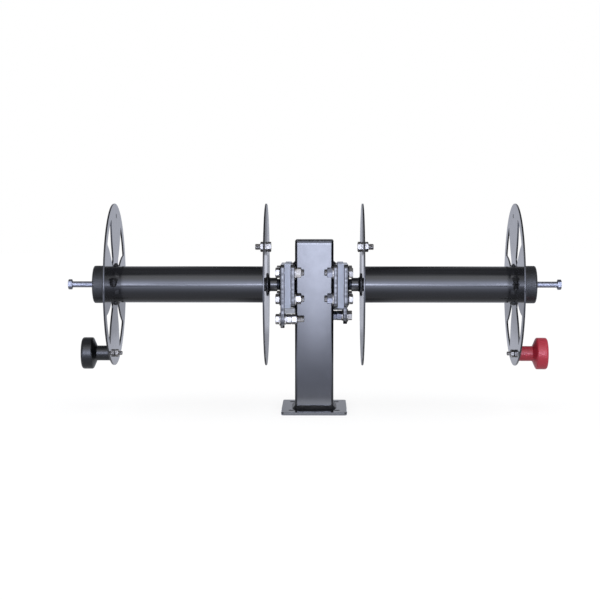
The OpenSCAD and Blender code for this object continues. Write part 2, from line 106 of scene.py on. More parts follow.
# one side: u runs out from the post, v across and w up from the reel's axis, all in millimetres.
# The left side is the right one turned half a turn about the post.
layout = {"axisHeight": 196.85, "reelTurn": 7.0, "postFace": 30.0, "insulatorAt": 36.35, "contactAt": 45.85,
          "contactOut": 52.2, "hubAt": 58.2, "innerFlangeAt": 74.1, "spoolFrom": 76.76, "spoolTo": 312.86,
          "outerFlangeOut": 315.52, "drumEnd": 343.52, "capFace": 346.52, "hubEnd": 99.76,
          "stackV": 40.0, "stackW": 20.3, "tabW": 51.6, "studRadius": 59.375, "knobRadius": 108.0}

# gloss powder coat, sprayed and baked: black, with orange peel that blurs the lamps a little;
# over weld it takes up the bead's scale and spatter and goes dull, and over thin sheet it shows how the
# hub weld has pulled the sheet into a shallow dish and waves
powderCoatLooks = {
    "glossPowderCoat": {"colour": "#15161a", "shade": "#1b1c21", "roughness": (0.06, 0.13),
                        "peel": 1.8, "peelDepth": 0.005, "wave": 22, "waveDepth": 0.03},
    "powderCoatOnSheet": {"colour": "#15161a", "shade": "#1b1c21", "roughness": (0.06, 0.12),
                          "peel": 1.8, "peelDepth": 0.004, "wave": 48, "waveDepth": 0.34,
                          "dish": 2.3, "dishRadius": 130.0},
    "powderCoatOverWeld": {"colour": "#141518", "shade": "#1c1d21", "roughness": (0.30, 0.46),
                           "peel": 1.1, "peelDepth": 0.06, "wave": 4, "waveDepth": 0.10},
}
powderCoatGrain = {"cloud": 30, "wear": 12, "ior": 1.5}


def powderCoat(name):
    look = powderCoatLooks[name]
    material, tree = newMaterial(name)
    bump = addNode(tree, "Bump", {
        "Height": grain(tree, look["peel"], 1), "Distance": look["peelDepth"] * mm})
    bump = addNode(tree, "Bump", {
        "Height": grain(tree, look["wave"], 1), "Distance": look["waveDepth"] * mm, "Normal": bump})
    if "dish" in look:
        size = 1 / (look["dishRadius"] * mm)
        place = addNode(tree, "Mapping", {
            "Vector": addNode(tree, "TexCoord").outputs["Object"],
            "Location": (0, 0, -layout["axisHeight"] * mm * size), "Scale": (0, size, size)})
        cone = addNode(tree, "TexGradient", {"Vector": place}, gradient_type="SPHERICAL")
        bump = addNode(tree, "Bump", {
            "Height": cone, "Distance": look["dish"] * mm, "Normal": bump})
    shades, wear = grain(tree, powderCoatGrain["cloud"], 4), grain(tree, powderCoatGrain["wear"], 3)
    addSurface(tree, look, shades, wear, bump, {"IOR": powderCoatGrain["ior"]})
    return material


# bare and plated metals: zinc is bright and a little satin, older zinc is blue-grey and dull, the spindle
# is black and oily
metalLooks = {
    "brightZincPlate": {"colour": "#b1aeaa", "shade": "#94928e", "roughness": (0.38, 0.50)},
    "dullZincPlate": {"colour": "#9496a0", "shade": "#74777f", "roughness": (0.40, 0.55)},
    "turnedSteel": {"colour": "#a8a9ab", "shade": "#8b8c8f", "roughness": (0.24, 0.36)},
    "oiledBlackSteel": {"colour": "#34363b", "shade": "#26282c", "roughness": (0.34, 0.48)},
    "turnedBronze": {"colour": "#b98d4f", "shade": "#9c743f", "roughness": (0.26, 0.38)},
}
metalGrain = {"cloud": 3, "scuff": 0.6, "scuffDepth": 0.004}


def metal(name):
    material, tree = newMaterial(name)
    cloud = grain(tree, metalGrain["cloud"], 4)
    bump = addNode(tree, "Bump", {
        "Height": grain(tree, metalGrain["scuff"], 2), "Distance": metalGrain["scuffDepth"] * mm})
    addSurface(tree, metalLooks[name], cloud, cloud, bump, {"Metallic": 1.0})
    return material


# moulded or machined plastics and rubbers: one colour with a fine grain and a little mottling
plasticLooks = {
    "mouldedPolyethylene": {"colour": "#1b1c1f", "shade": "#222428", "roughness": (0.38, 0.50),
                            "grain": 0.9, "depth": 0.006},
    "dippedVinyl": {"colour": "#16171a", "shade": "#202226", "roughness": (0.38, 0.50),
                    "grain": 1.6, "depth": 0.010},
    "glassPolyesterBoard": {"colour": "#bbc3d7", "shade": "#b0b8cc", "roughness": (0.42, 0.60),
                            "grain": 0.7, "depth": 0.008},
    # the insulator's own board, painted darker and greyer for its heel: painted shade where the heel sits below
    # the stack
    "glassPolyesterBoardPaintedShade": {"colour": "#b0b4bd", "shade": "#a3a7b0", "roughness": (0.45, 0.62),
                             "grain": 0.9, "depth": 0.012},
    "mouldedNylon": {"colour": "#18191c", "shade": "#1f2024", "roughness": (0.35, 0.45),
                     "grain": 0.8, "depth": 0.004},
    "blackPhenolic": {"colour": "#101215", "shade": "#16181b", "roughness": (0.25, 0.34),
                      "grain": 1.2, "depth": 0.006},
    "redPhenolic": {"colour": "#bd3346", "shade": "#b22c3e", "roughness": (0.28, 0.38),
                    "grain": 1.2, "depth": 0.006},
}
plasticGrain = {"cloud": 14, "ior": 1.5}


def plastic(name):
    look = plasticLooks[name]
    material, tree = newMaterial(name)
    cloud = grain(tree, plasticGrain["cloud"], 4)
    bump = addNode(tree, "Bump", {
        "Height": grain(tree, look["grain"], 3), "Distance": look["depth"] * mm})
    addSurface(tree, look, cloud, cloud, bump, {"IOR": plasticGrain["ior"]})
    return material


finishes = {
    "powder_coat": powderCoat("glossPowderCoat"),
    "cap_plastic": plastic("mouldedPolyethylene"),
    "cap_vinyl": plastic("dippedVinyl"),
    "insulator_board": plastic("glassPolyesterBoard"),
    "bush_nylon": plastic("mouldedNylon"),
    "zinc_plate": metal("brightZincPlate"),
    "turned_steel": metal("turnedSteel"),
    "oiled_steel": metal("oiledBlackSteel"),
    "bronze": metal("turnedBronze"),
    "knob_black": plastic("blackPhenolic"),
    "knob_red": plastic("redPhenolic"),
}
weldFinish = powderCoat("powderCoatOverWeld")
sheetFinish = powderCoat("powderCoatOnSheet")
dullZincFinish = metal("dullZincPlate")
# the heel's finish: the board painted darker, as painted shade below the stack
heelPaintedShadeFinish = plastic("glassPolyesterBoardPaintedShade")


def dress(piece, material):
    piece.data.materials.clear()
    piece.data.materials.append(material)


slots = {}
for part in frame["record"]["subparts"]:
    slots[part["node"]] = part["material_slot"]
    dress(nodes[part["node"]], finishes[part["material_slot"]])
print("finishes made:", len(finishes))


sides = {"left": -1, "right": 1}
# base and post: u runs up, v along the reels and w to the back
uprightPlace = Matrix.Scale(mm, 4) @ Matrix(((0, 1, 0, 0), (0, 0, 1, 0), (1, 0, 0, 0), (0, 0, 0, 1)))
lookingAlongU = 0.9999   # a face whose normal has more than this share along u is flat
breakShare = 0.3    # where the two flats of a small round edge meet, as a share of its size
tiny = 1e-6


def sidePlace(side, onReel):
    place = Matrix.Scale(mm, 4) @ Matrix.Translation((0, 0, layout["axisHeight"]))
    if side == "left":
        place = place @ Matrix.Rotation(math.pi, 4, "Z")
    if onReel:
        place = place @ Matrix.Rotation(-sides[side] * math.radians(layout["reelTurn"]), 4, "X")
    return place


# joins shells into one object, flat on the faces that look along u and smooth elsewhere; `others`
# gives a shell a finish of its own
def makePiece(name, shells, place, replaced, body, sharp=40, others=None):
    points, faces, kinds = [], [], []
    for n, (shellPoints, shellFaces) in enumerate(shells):
        first = len(points)
        points += [place @ Vector(p) for p in shellPoints]
        faces += [[i + first for i in face] for face in shellFaces]
        kinds += [1 if others and n in others else 0] * len(shellFaces)
    mesh = bpy.data.meshes.new(name)
    mesh.from_pydata(points, [], faces)
    tidy = bmesh.new()
    tidy.from_mesh(mesh)
    bmesh.ops.recalc_face_normals(tidy, faces=tidy.faces)
    tidy.to_mesh(mesh)
    tidy.free()
    mesh.shade_smooth()
    mesh.set_sharp_from_angle(angle=math.radians(sharp))
    along = (place.to_3x3() @ Vector((1, 0, 0))).normalized()
    for polygon in mesh.polygons:
        if abs(polygon.normal.dot(along)) > lookingAlongU:
            polygon.use_smooth = False
    piece = bpy.data.objects.new(name, mesh)
    scene.collection.objects.link(piece)
    even = piece.modifiers.new("evenNormals", "WEIGHTED_NORMAL")  # keeps wide faces flat beside round edges
    even.keep_sharp = True
    isWeld = all("weld" in node for node in replaced)
    dress(piece, weldFinish if isWeld else finishes[slots[replaced[0]]])
    for finish in (others or {}).values():
        mesh.materials.append(finish)
    mesh.polygons.foreach_set("material_index", kinds)
    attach(piece, body)
    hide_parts(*replaced)
    return piece


# piece of one side, on the stand or on one of the side's own bodies, named from the node it replaces
def makeSidePiece(side, node, shells, body=None, **options):
    name = side + "".join(word.capitalize() for word in node.split("_"))
    place = sidePlace(side, onReel=body is not None)
    onBody = side + "_" + body if body else "stand"
    return makePiece(name, shells, place, [side + "_" + node], onBody, **options)


# point at an angle round a centre
def around(radius, angle, centre=(0, 0)):
    return centre[0] + radius * math.cos(angle), centre[1] + radius * math.sin(angle)


# faces between two loops of points, given by the number of each loop's first point
def band(here, there, size):
    return [(here + i, here + (i + 1) % size, there + (i + 1) % size, there + i) for i in range(size)]


# faces of a row of loops, whose ends are joined if it is closed and covered if it isn't
def loftFaces(count, size, closed):
    faces = []
    for j in range(count if closed else count - 1):
        faces += band(j * size, (j + 1) % count * size, size)
    if not closed:
        faces += [tuple(range(size)), tuple(range((count - 1) * size, count * size))]
    return faces


# closed shell round an axis along u; a ring is (u, radius), or a function of the angle that gives them
def roundShell(rings, centre=(0, 0), steps=48, hollow=False, start=0):
    points = []
    for ring in rings:
        for i in range(steps):
            angle = math.radians(start) + 2 * math.pi * i / steps
            u, radius = ring(angle) if callable(ring) else ring
            points.append((u, *around(radius, angle, centre)))
    return points, loftFaces(len(rings), steps, hollow)


# rings of a tube or washer with a bore, its outer edges broken
def tubeRings(start, end, bore, radius, edge):
    near = edge * breakShare
    return [(start, bore), (start, radius - edge), (start + near, radius - near), (start + edge, radius),
            (end - edge, radius), (end, radius - edge), (end, bore)]


# stretch of a round edge, from the direction `begin` to `end` in degrees, as rings
def roundEdge(u, radius, size, begin, end, steps):
    angles = [math.radians(begin + (end - begin) * i / steps) for i in range(steps + 1)]
    return [(u + size * math.sin(a), radius + size * math.cos(a)) for a in angles]


# closed shell of a flat outline with holes, from levels of (height along u, inset of the edge)
def plateShell(outlines, levels, u=0):
    points, faces, loops = [], [], []
    for n, outline in enumerate(outlines):
        area = sum(a[0] * b[1] - b[0] * a[1] for a, b in zip(outline, outline[1:] + outline[:1]))
        if (area > 0) != (n == 0):
            outline = outline[::-1]
        inward = []
        for i, point in enumerate(outline):
            neighbours = outline[i - 1], point, outline[(i + 1) % len(outline)]
            before, here, after = (Vector(p) for p in neighbours)
            way = (here - before).normalized() + (after - here).normalized()
            way = way.normalized() if way.length > tiny else Vector((1, 0))
            inward.append((-way.y, way.x))
        size, first = len(outline), len(points)
        for height, inset in levels:
            points += [(u + height, v + inset * inV, w + inset * inW)
                       for (v, w), (inV, inW) in zip(outline, inward)]
        for j in range(len(levels) - 1):
            faces += band(first + j * size, first + (j + 1) * size, size)
        loops.append((first, size))
    for level in (0, len(levels) - 1):
        flat = [[Vector((*points[first + level * size + i][1:], 0)) for i in range(size)]
                for first, size in loops]
        index = [first + level * size + i for first, size in loops for i in range(size)]
        faces += [tuple(index[i] for i in triangle) for triangle in geometry.tessellate_polygon(flat)]
    return points, faces


# levels of a plate with rounded edges
def edgeLevels(thickness, edge):
    near = [(0, edge), (breakShare * edge, breakShare * edge), (edge, 0)]
    return near + [(thickness - height, inset) for height, inset in near[::-1]]


def circle(radius, centre=(0, 0), steps=64):
    return [around(radius, 2 * math.pi * i / steps, centre) for i in range(steps)]


def roundedRect(width, height, radius, steps=8, centre=(0, 0)):
    halfV, halfW = width / 2 - radius, height / 2 - radius
    outline = []
    for v, w, begin in ((halfV, halfW, 0), (-halfV, halfW, 90), (-halfV, -halfW, 180), (halfV, -halfW, 270)):
        for i in range(steps + 1):
            angle = math.radians(begin + 90 * i / steps)
            outline.append(around(radius, angle, (centre[0] + v, centre[1] + w)))
    return outline


# evenly spaced points along an outline, each moved in a little, as a cutter leaves an edge
def cutEdge(outline, spacing, depth, seed):
    chance = random.Random(seed)
    result = []
    for (v, w), (nextV, nextW) in zip(outline, outline[1:] + outline[:1]):
        length = math.hypot(nextV - v, nextW - w)
        if length < tiny:
            continue
        pieces = max(1, round(length / spacing))
        for i in range(pieces):
            moved = -depth * chance.uniform(-1, 0)
            result.append((v + (nextV - v) * i / pieces - (nextW - w) / length * moved,
                           w + (nextW - w) * i / pieces + (nextV - v) / length * moved))
    return result


# weld run in a corner: each stop of the path has a place and the two directions that the bead lies between
weldLook = {"ripple": 1.8, "rippleDepth": 0.035, "rippleLag": 0.7, "lump": 9.0, "lumpDepth": 0.14,
            "lumpsAcross": 1.5, "lumpBias": 0.25, "points": 11, "taper": 3.0, "thinnest": 0.02,
            "bulge": 2.2, "root": 0.35, "seedStep": 7.3}
tackLook = {**weldLook, "ripple": 3.1, "rippleDepth": 0.10, "lump": 4.5, "lumpDepth": 0.42, "taper": 4.5,
            "bulge": 1.5}


def weldShell(path, legs, seed, closed=False, look=weldLook):
    points, lengths = [], [0]
    for (a, _, _), (b, _, _) in zip(path, path[1:]):
        lengths.append(lengths[-1] + (Vector(b) - Vector(a)).length)
    whole = lengths[-1]
    for (corner, first, second), travelled in zip(path, lengths):
        corner, first, second = Vector(corner), Vector(first), Vector(second)
        end = min(1.0, min(travelled, whole - travelled) / look["taper"]) if not closed else 1.0
        fade = math.sqrt(max(look["thinnest"], 1 - (1 - end) ** 2))
        points.append(tuple(corner - look["root"] * fade * (first + second)))
        for i in range(look["points"]):
            share = i / (look["points"] - 1)
            turn = share * math.pi / 2
            phase = travelled / look["ripple"] + look["rippleLag"] * math.sin(share * math.pi)
            ripple = 1 - look["rippleDepth"] * abs(2 * (phase - math.floor(phase)) - 1)
            where = Vector((travelled / look["lump"], share * look["lumpsAcross"], seed * look["seedStep"]))
            lump = 1 + look["lumpDepth"] * (noise.noise(where) - look["lumpBias"])
            size = fade * ripple * lump
            points.append(tuple(corner + size * (first * legs[0] * math.cos(turn) ** look["bulge"]
                                                 + second * legs[1] * math.sin(turn) ** look["bulge"])))
    return points, loftFaces(len(path), look["points"] + 1, closed)


# path round a tube on the reel's axis: the bead lies between the tube, going `way` along u, and a face at u
def ringPath(u, radius, way, begin=0, end=360, spacing=0.5):
    steps = max(8, round(math.radians(abs(end - begin)) * radius / spacing))
    whole = end - begin == 360
    path = []
    for i in range(steps if whole else steps + 1):
        angle = math.radians(begin + (end - begin) * i / steps)
        path.append(((u, *around(radius, angle)), (way, 0, 0), (0, *around(1, angle))))
    return path


# stock 3/8 in hexagon bolts: washer face under the head, chamfered corners and a rolled thread, cut
# shallower than the real one, which would be too dark and fine at the render's size
fastener = {"diameter": 9.525, "flats": 14.29, "head": 6.2, "nut": 8.3, "pitch": 1.5875, "depth": 0.38,
            "ringsPerTurn": 8, "bore": 0.5, "lead": 0.9, "threaded": 25.4, "washerFace": 0.4,
            "washerFaceShare": 0.475, "crown": 0.15, "crownShares": (0.28, 0.34), "cornerRound": 0.18,
            "chamfer": 30, "point": 0.9, "pointSlope": 1.2}
# 1/4 in bolts that the knobs turn on
knobFastener = {**fastener, "diameter": 6.35, "flats": 11.11, "head": 4.0, "nut": 5.6, "pitch": 1.27,
                "depth": 0.3, "bore": 0.35, "threaded": 19.05, "washerFace": 0.3, "point": 0.7}


def hexRing(u, turn, look):
    corner = look["flats"] / 2 / math.cos(math.pi / 6) - look["cornerRound"]

    def ring(angle):
        off = (math.degrees(angle) - turn + 30) % 60 - 30
        return u, min(look["flats"] / 2 / math.cos(math.radians(off)), corner)
    return ring


# the arcs that the chamfer leaves on each flat; `way` is the direction of the face along u
def hexChamfer(face, turn, way, look):
    flat = look["flats"] * look["washerFaceShare"]
    side = hexRing(face, turn, look)

    def ring(angle):
        radius = side(angle)[1]
        return face - way * (radius - flat) * math.tan(math.radians(look["chamfer"])), radius
    return [ring, (face, flat)]


def threadRing(seat, way, along, tip, look):
    def ring(angle):
        share = (along / look["pitch"] - way * angle / (2 * math.pi)) % 1.0
        cut = 0.5 - 0.5 * math.cos(2 * math.pi * share)
        radius = look["diameter"] / 2 - cut * look["depth"]
        pointed = look["diameter"] / 2 - look["point"] + look["pointSlope"] * (tip - along)
        return seat + way * along, min(radius, pointed)
    return ring


# bolt with its seat at u and its shank going `way` along u
def boltShell(seat, way, length, centre=(0, 0), turn=0, look=fastener):
    face = seat - way * look["head"]
    plain = max(0.0, length - look["threaded"])
    inner, outer = (look["flats"] * share for share in look["crownShares"])
    raised, radius = look["flats"] * look["washerFaceShare"], look["diameter"] / 2
    rings = [(face + way * look["crown"], inner), (face, outer)]
    rings += hexChamfer(face, turn, -way, look)[::-1]
    rings += [hexRing(seat - way * look["washerFace"], turn, look),
              (seat - way * look["washerFace"], raised), (seat, raised), (seat, radius)]
    if plain > 0:
        rings += [(seat + way * plain * 0.5, radius), (seat + way * plain, radius)]
    steps = round((length - plain) / look["pitch"] * look["ringsPerTurn"])
    for i in range(1, steps + 1):
        rings.append(threadRing(seat, way, plain + (length - plain) * i / steps, length, look))
    return roundShell(rings, centre, steps=36, start=turn)


def nutShell(u, centre=(0, 0), turn=0, look=fastener):
    hole, lead = look["diameter"] / 2 - look["bore"], look["lead"]
    out = u + look["nut"]
    rings = [(u + lead, hole), (u, hole + lead)]
    rings += hexChamfer(u, turn, -1, look)[::-1] + hexChamfer(out, turn, 1, look)
    rings += [(out, hole + lead), (out - lead, hole)]
    return roundShell(rings, centre, steps=36, start=turn, hollow=True)


washer = {"radius": 10.1, "thick": 1.6, "hole": 5.16, "edge": 0.25}
# split lock washer: a turn of square wire, squeezed flat, with a gap between its ends, given in degrees
lockWasher = {"radius": 8.5, "thick": 2.4, "hole": 5.2, "gap": 9, "gapAt": 240, "edge": 0.3,
              "bevel": 0.2, "bevelRise": 0.12}


def washerShell(u, centre):
    rings = tubeRings(u, u + washer["thick"], washer["hole"], washer["radius"], washer["edge"])
    return roundShell(rings, centre, hollow=True)


def lockWasherShell(u, centre, steps=60):
    look = lockWasher
    radius, thick, hole, edge, gap = (look[key] for key in ("radius", "thick", "hole", "edge", "gap"))
    section = ((look["bevelRise"], hole), (0, hole + look["bevel"]), (0, radius - edge), (edge, radius),
               (thick - edge, radius), (thick, radius - edge), (thick, hole + look["bevel"]))
    points = []
    for i in range(steps + 1):
        angle = math.radians(gap / 2 + (360 - gap) * i / steps + look["gapAt"])
        points += [(u + height, *around(r, angle, centre)) for height, r in section]
    return points, loftFaces(steps + 1, len(section), closed=False)


# base plate and its weld
base = {"width": 101.6, "depth": 152.4, "thickness": 4.8, "corner": 5, "hole": 4.5, "holeV": 35.0,
        "holeW": 50.8, "edge": 0.5, "cutSpacing": 1.1, "cutDepth": 0.05, "weld": 5.2, "weldSpacing": 0.5}
# the post's tube, whose end rolls over by steps of (share of the roll's height, millimetres in)
post = {"width": 60, "wall": 3, "corner": 4, "innerCorner": 1.2, "top": 264.25, "edge": 0.6, "roll": 4.0,
        "rollShares": ((1, 0), (0.65, 0.03), (0.3, 0.10))}
# its moulded cap, whose rim rounds over in the same way, with a finned plug below
postCap = {"rise": 3.2, "plug": 16, "plugGap": 1.5, "plugWall": 2, "plugEdge": 0.3, "plugCorners": (2, 1),
           "finReach": 1.2, "finRoot": 0.5, "finEdge": 0.5, "finThick": 1.5, "finHeights": (4, 10),
           "rimShares": ((0, 0.25), (0.0625, 0.05), (0.35, 0), (0.6, 0.2), (0.8, 0.7), (0.93, 1.5),
                         (1, 3.0))}


def square(width, corner, steps=8):
    return roundedRect(width, width, corner, steps)


def buildBase():
    outline = cutEdge(roundedRect(base["width"], base["depth"], base["corner"]), base["cutSpacing"],
                      base["cutDepth"], 1)
    corners = [(v * base["holeV"], w * base["holeW"]) for v in (-1, 1) for w in (-1, 1)]
    plate = plateShell([outline] + [circle(base["hole"], corner, 40) for corner in corners],
                       edgeLevels(base["thickness"], base["edge"]))
    makePiece("basePlate", [plate], uprightPlace, ["base_plate"], "stand")
    path = []
    foot = cutEdge(square(post["width"], post["corner"], 12), base["weldSpacing"], 0, 2)
    for i, (v, w) in enumerate(foot):
        before, after = foot[i - 1], foot[(i + 1) % len(foot)]
        way = (Vector(after) - Vector(before)).normalized()
        path.append(((base["thickness"], v, w), (1, 0, 0), (0, way.y, -way.x)))
    weld = weldShell(path, (base["weld"], base["weld"]), 3, closed=True)
    makePiece("baseWeld", [weld], uprightPlace, ["base_weld"], "stand", sharp=60)


def buildPost():
    inner = post["width"] - 2 * post["wall"]
    height = post["top"] - base["thickness"]
    levels = [(0, 0), (height * 0.5, 0)]
    levels += [(height - post["roll"] * share, inset) for share, inset in post["rollShares"]]
    levels += [(height - post["edge"] * breakShare, post["edge"] / 2), (height, post["edge"])]
    outline = square(post["width"], post["corner"], 10)
    tube = plateShell([outline, square(inner, post["innerCorner"], 4)], levels, base["thickness"])
    makePiece("postTube", [tube], uprightPlace, ["post_tube"], "stand")

    look = postCap
    levels = [(look["rise"] * share, inset) for share, inset in look["rimShares"]]
    lid = plateShell([outline], levels, post["top"])
    plugWidth, plugFrom = inner - 2 * look["plugGap"], post["top"] - look["plug"]
    outside, inside = look["plugCorners"]
    plug = plateShell([square(plugWidth, outside), square(plugWidth - 2 * look["plugWall"], inside)],
                      [(0, look["plugEdge"]), (look["plugEdge"], 0), (look["plug"], 0)], plugFrom)
    ring = [square(plugWidth + 2 * reach, inside) for reach in (look["finReach"], -look["finRoot"])]
    levels = [(0, look["finEdge"]), (look["finThick"] / 2, 0), (look["finThick"], look["finEdge"])]
    fins = [plateShell(ring, levels, plugFrom + z) for z in look["finHeights"]]
    makePiece("postCap", [lid, plug] + fins, uprightPlace, ["post_cap"], "stand")


# plates of the insulated stack
stack = {"width": 101.6, "height": 66.0, "plate": 6.35, "corner": 6.0, "edge": 0.85, "boltHole": 5.1625,
         "bushHole": 6.4, "cutSpacing": 1.8, "cutDepth": 0.19, "tabHalf": 10.8, "tabTip": 65.5,
         "tabSteps": 24, "spindle": 8.75}
insulator = {"thickness": 9.5, "proud": 1.2, "heel": 8.2, "heelFrom": 30.3, "edge": 0.45, "corner": 0.8}
stackCentres = [(v * layout["stackV"], w * layout["stackW"]) for v in (-1, 1) for w in (-1, 1)]
lugCentre = (layout["stackV"], -layout["tabW"])


def buildPlates(side):
    look = stack
    boltHoles, bushHoles = ([circle(look[hole], centre, 32) for centre in stackCentres]
                            for hole in ("boltHole", "bushHole"))
    levels = edgeLevels(look["plate"], look["edge"])
    flat = roundedRect(look["width"], look["height"], look["corner"])
    outline = cutEdge(flat, look["cutSpacing"], look["cutDepth"], sides[side] + 20)
    makeSidePiece(side, "mounting_plate", [plateShell([outline] + boltHoles, levels, layout["postFace"])])

    tabV, tabCentre = layout["stackV"], look["tabHalf"] - look["tabTip"]
    tab = [(tabV - look["tabHalf"], -look["height"] / 2)]
    for i in range(look["tabSteps"] + 1):
        tab.append(around(look["tabHalf"], math.pi * (1 + i / look["tabSteps"]), (tabV, tabCentre)))
    contact = [p for p in flat if p[1] > 0] + [p for p in flat if p[1] < 0 and p[0] < 0] + tab
    outline = cutEdge(contact, look["cutSpacing"], look["cutDepth"], sides[side] + 30)
    holes = bushHoles + [circle(look["boltHole"], lugCentre, 32), circle(look["spindle"], steps=48)]
    makeSidePiece(side, "contact_plate", [plateShell([outline] + holes, levels, layout["contactAt"])])


def buildInsulator(side):
    look = insulator
    tall = stack["height"] + 2 * look["proud"]
    outline = roundedRect(stack["width"], tall, look["corner"], 3)
    holes = [circle(stack["bushHole"], centre, 32) for centre in stackCentres]
    board = plateShell([outline] + holes, edgeLevels(look["thickness"], look["edge"]), layout["insulatorAt"])
    width = stack["width"] / 2 - look["heelFrom"]
    centre = (look["heelFrom"] + width / 2, -tall / 2 - look["heel"] / 2)
    heel = plateShell([roundedRect(width, look["heel"], look["corner"], 3, centre)],
                      edgeLevels(stack["plate"] + look["thickness"], look["edge"]), layout["postFace"])
    # the heel takes the darker finish: painted shade below the stack
    makeSidePiece(side, "insulator", [board, heel], others={1: heelPaintedShadeFinish})


# welds of the mounting plate, above and below and short ones at the post's corners, and of the spindle
standWeld = {"leg": 4.8, "steps": 90, "cornerLegs": (5.4, 5.6), "cornerHalf": 7, "cornerSteps": 28,
             "cornerIn": 1.4, "cornerLean": 0.72, "spindleLegs": (3.0, 3.9)}


def buildStandWelds(side):
    look, face, half = standWeld, layout["postFace"], stack["height"] / 2
    flat, steps = post["width"] / 2 - post["corner"], look["steps"]
    beads = []
    for up in (-1, 1):
        path = [((face, -flat + 2 * flat * i / steps, up * half), (1, 0, 0), (0, 0, up))
                for i in range(steps + 1)]
        beads.append(weldShell(path, (look["leg"], look["leg"]), 11 + up + 3 * sides[side]))
    corner, reach, steps = face - look["cornerIn"], look["cornerHalf"], look["cornerSteps"]
    for front in (-1, 1):
        path = [((corner, front * corner, -reach + 2 * reach * i / steps), (-look["cornerLean"], 0, 0),
                 (0, front, 0)) for i in range(steps + 1)]
        beads.append(weldShell(path, look["cornerLegs"], 17 + front + 3 * sides[side]))
    makeSidePiece(side, "plate_welds", beads, sharp=60)
    path = ringPath(layout["contactOut"], stack["spindle"], 1)
    ring = weldShell(path, look["spindleLegs"], 23 + sides[side], closed=True)
    makeSidePiece(side, "spindle_weld", [ring], sharp=60)


# bolts, nuts, washers and bushes of the stack and of the feed lug; a turn of 0 puts a flat to the front
turns = {"stackHead": (3, 16, -4, 5), "stackNut": (20, 28, 4, 20), "lugHead": {"left": 3, "right": 13},
         "lugNuts": {"left": (-2, 3), "right": (12, 16)}, "studHead": 2, "studNut": -2, "tension": 2,
         "knobBolt": 0, "knobNut": 12}
boltLengths = {"stack": 38.1, "lug": 38.1, "stud": 19.05, "tension": 63.5, "knob": 44.45}
bush = {"sleeve": 6.35, "collar": 10.1, "collarThick": 1.6, "bore": 4.9625, "edge": 0.3, "foot": 0.4,
        "rim": 0.6}


def buildFasteners(side):
    seat, thick = layout["contactOut"], washer["thick"]
    bolts = [boltShell(seat + bush["collarThick"], -1, boltLengths["stack"], centre, turn)
             for centre, turn in zip(stackCentres, turns["stackHead"])]
    makeSidePiece(side, "stack_bolts", bolts, sharp=25)
    nutAt = layout["postFace"] - thick - fastener["nut"]
    nuts = [nutShell(nutAt, centre, turn) for centre, turn in zip(stackCentres, turns["stackNut"])]
    stackNuts = makeSidePiece(side, "stack_nuts", nuts, sharp=25)
    flats = [washerShell(layout["postFace"] - thick, centre) for centre in stackCentres]
    lockAt = layout["contactAt"] - lockWasher["thick"]
    flats += [washerShell(seat, lugCentre), lockWasherShell(lockAt, lugCentre)]
    makeSidePiece(side, "washers", flats)
    bolt = boltShell(seat + thick, -1, boltLengths["lug"], lugCentre, turns["lugHead"][side])
    makeSidePiece(side, "lug_bolt", [bolt], sharp=25)
    nuts = [nutShell(lockAt - (i + 1) * fastener["nut"], lugCentre, turn)
            for i, turn in enumerate(turns["lugNuts"][side])]
    lugNuts = makeSidePiece(side, "lug_nuts", nuts, sharp=25)
    if side == "right":    # the nuts of this side have lost their shine
        dress(stackNuts, dullZincFinish)
        dress(lugNuts, dullZincFinish)


def buildBushes(side):
    look, start, collar = bush, layout["insulatorAt"], layout["contactOut"]
    foot, rim, out = look["foot"], look["rim"], collar + look["collarThick"]
    rings = [(start, look["bore"]), (start, look["sleeve"] - look["edge"]),
             (start + look["edge"], look["sleeve"]), (collar, look["sleeve"]),
             (collar, look["collar"] - foot / 2)]
    rings += roundEdge(collar + foot, look["collar"] - foot, foot, -60, 0, 2)
    rings += roundEdge(out - rim, look["collar"] - rim, rim, 0, 90, 4)
    rings += [(out, look["bore"])]
    bushes = [roundShell(rings, centre, hollow=True) for centre in stackCentres]
    makeSidePiece(side, "insulating_bushes", bushes)


# reel: drum, flanges, hub tube and their welds
reel = {"flangeRadius": 126.99, "flangeThick": 2.66, "edge": 0.6, "knobHole": 3.235,
        "drumRadius": 28.575, "drumWall": 2.1, "drumEdge": 0.4, "drumSteps": 12, "drumWeld": 2.6,
        "hubRadius": 10.65, "hubBore": 8.81, "hubEdge": 0.5,
        "windows": 4, "windowIn": 43.975, "windowOut": 110.5, "windowHalf": 15.5}
offFace = 0.02    # keeps an end off the face that it lies against
# one window's outline: along the radius, and across as a share of the half angle
windowShares = [(0.00, 0.00), (0.00, 0.40), (0.03, 0.62), (0.10, 0.70), (0.40, 0.71), (0.62, 0.79),
                (0.80, 0.88), (0.92, 0.96), (0.975, 0.99), (1.00, 0.92), (1.00, 0.50)]
# weld collar of the hub: steps of (out from the flange, radius, seed), each ring uneven by `ragged`
hubCollar = {"ragged": 0.55, "coarse": 4, "fine": 3.1, "bias": 0.6, "sunk": 0.2, "foot": 0.5, "end": 5.51,
             "steps": [(0.5, 18.2, 0), (1.74, 18.2, 0.4), (2.61, 17.4, 0.7), (2.9, 16.0, 1),
                       (3.19, 12.55, 2), (4.06, 11.35, 3)]}
# tack welds inside the outer flange, as (middle, span, leg): degrees from the back, up, and millimetres
tacks = {"left": [(180, 42, 7.6), (92, 24, 7.0), (268, 26, 7.2), (2, 30, 7.4)],
         "right": [(180, 50, 5.8), (88, 24, 6.4), (272, 30, 6.6), (4, 30, 7.4)], "height": 5.0}


def spline(a, b, c, d, t):
    return (2 * b + (c - a) * t + (2 * a - 5 * b + 4 * c - d) * t * t + (3 * b - a - 3 * c + d) * t ** 3) / 2


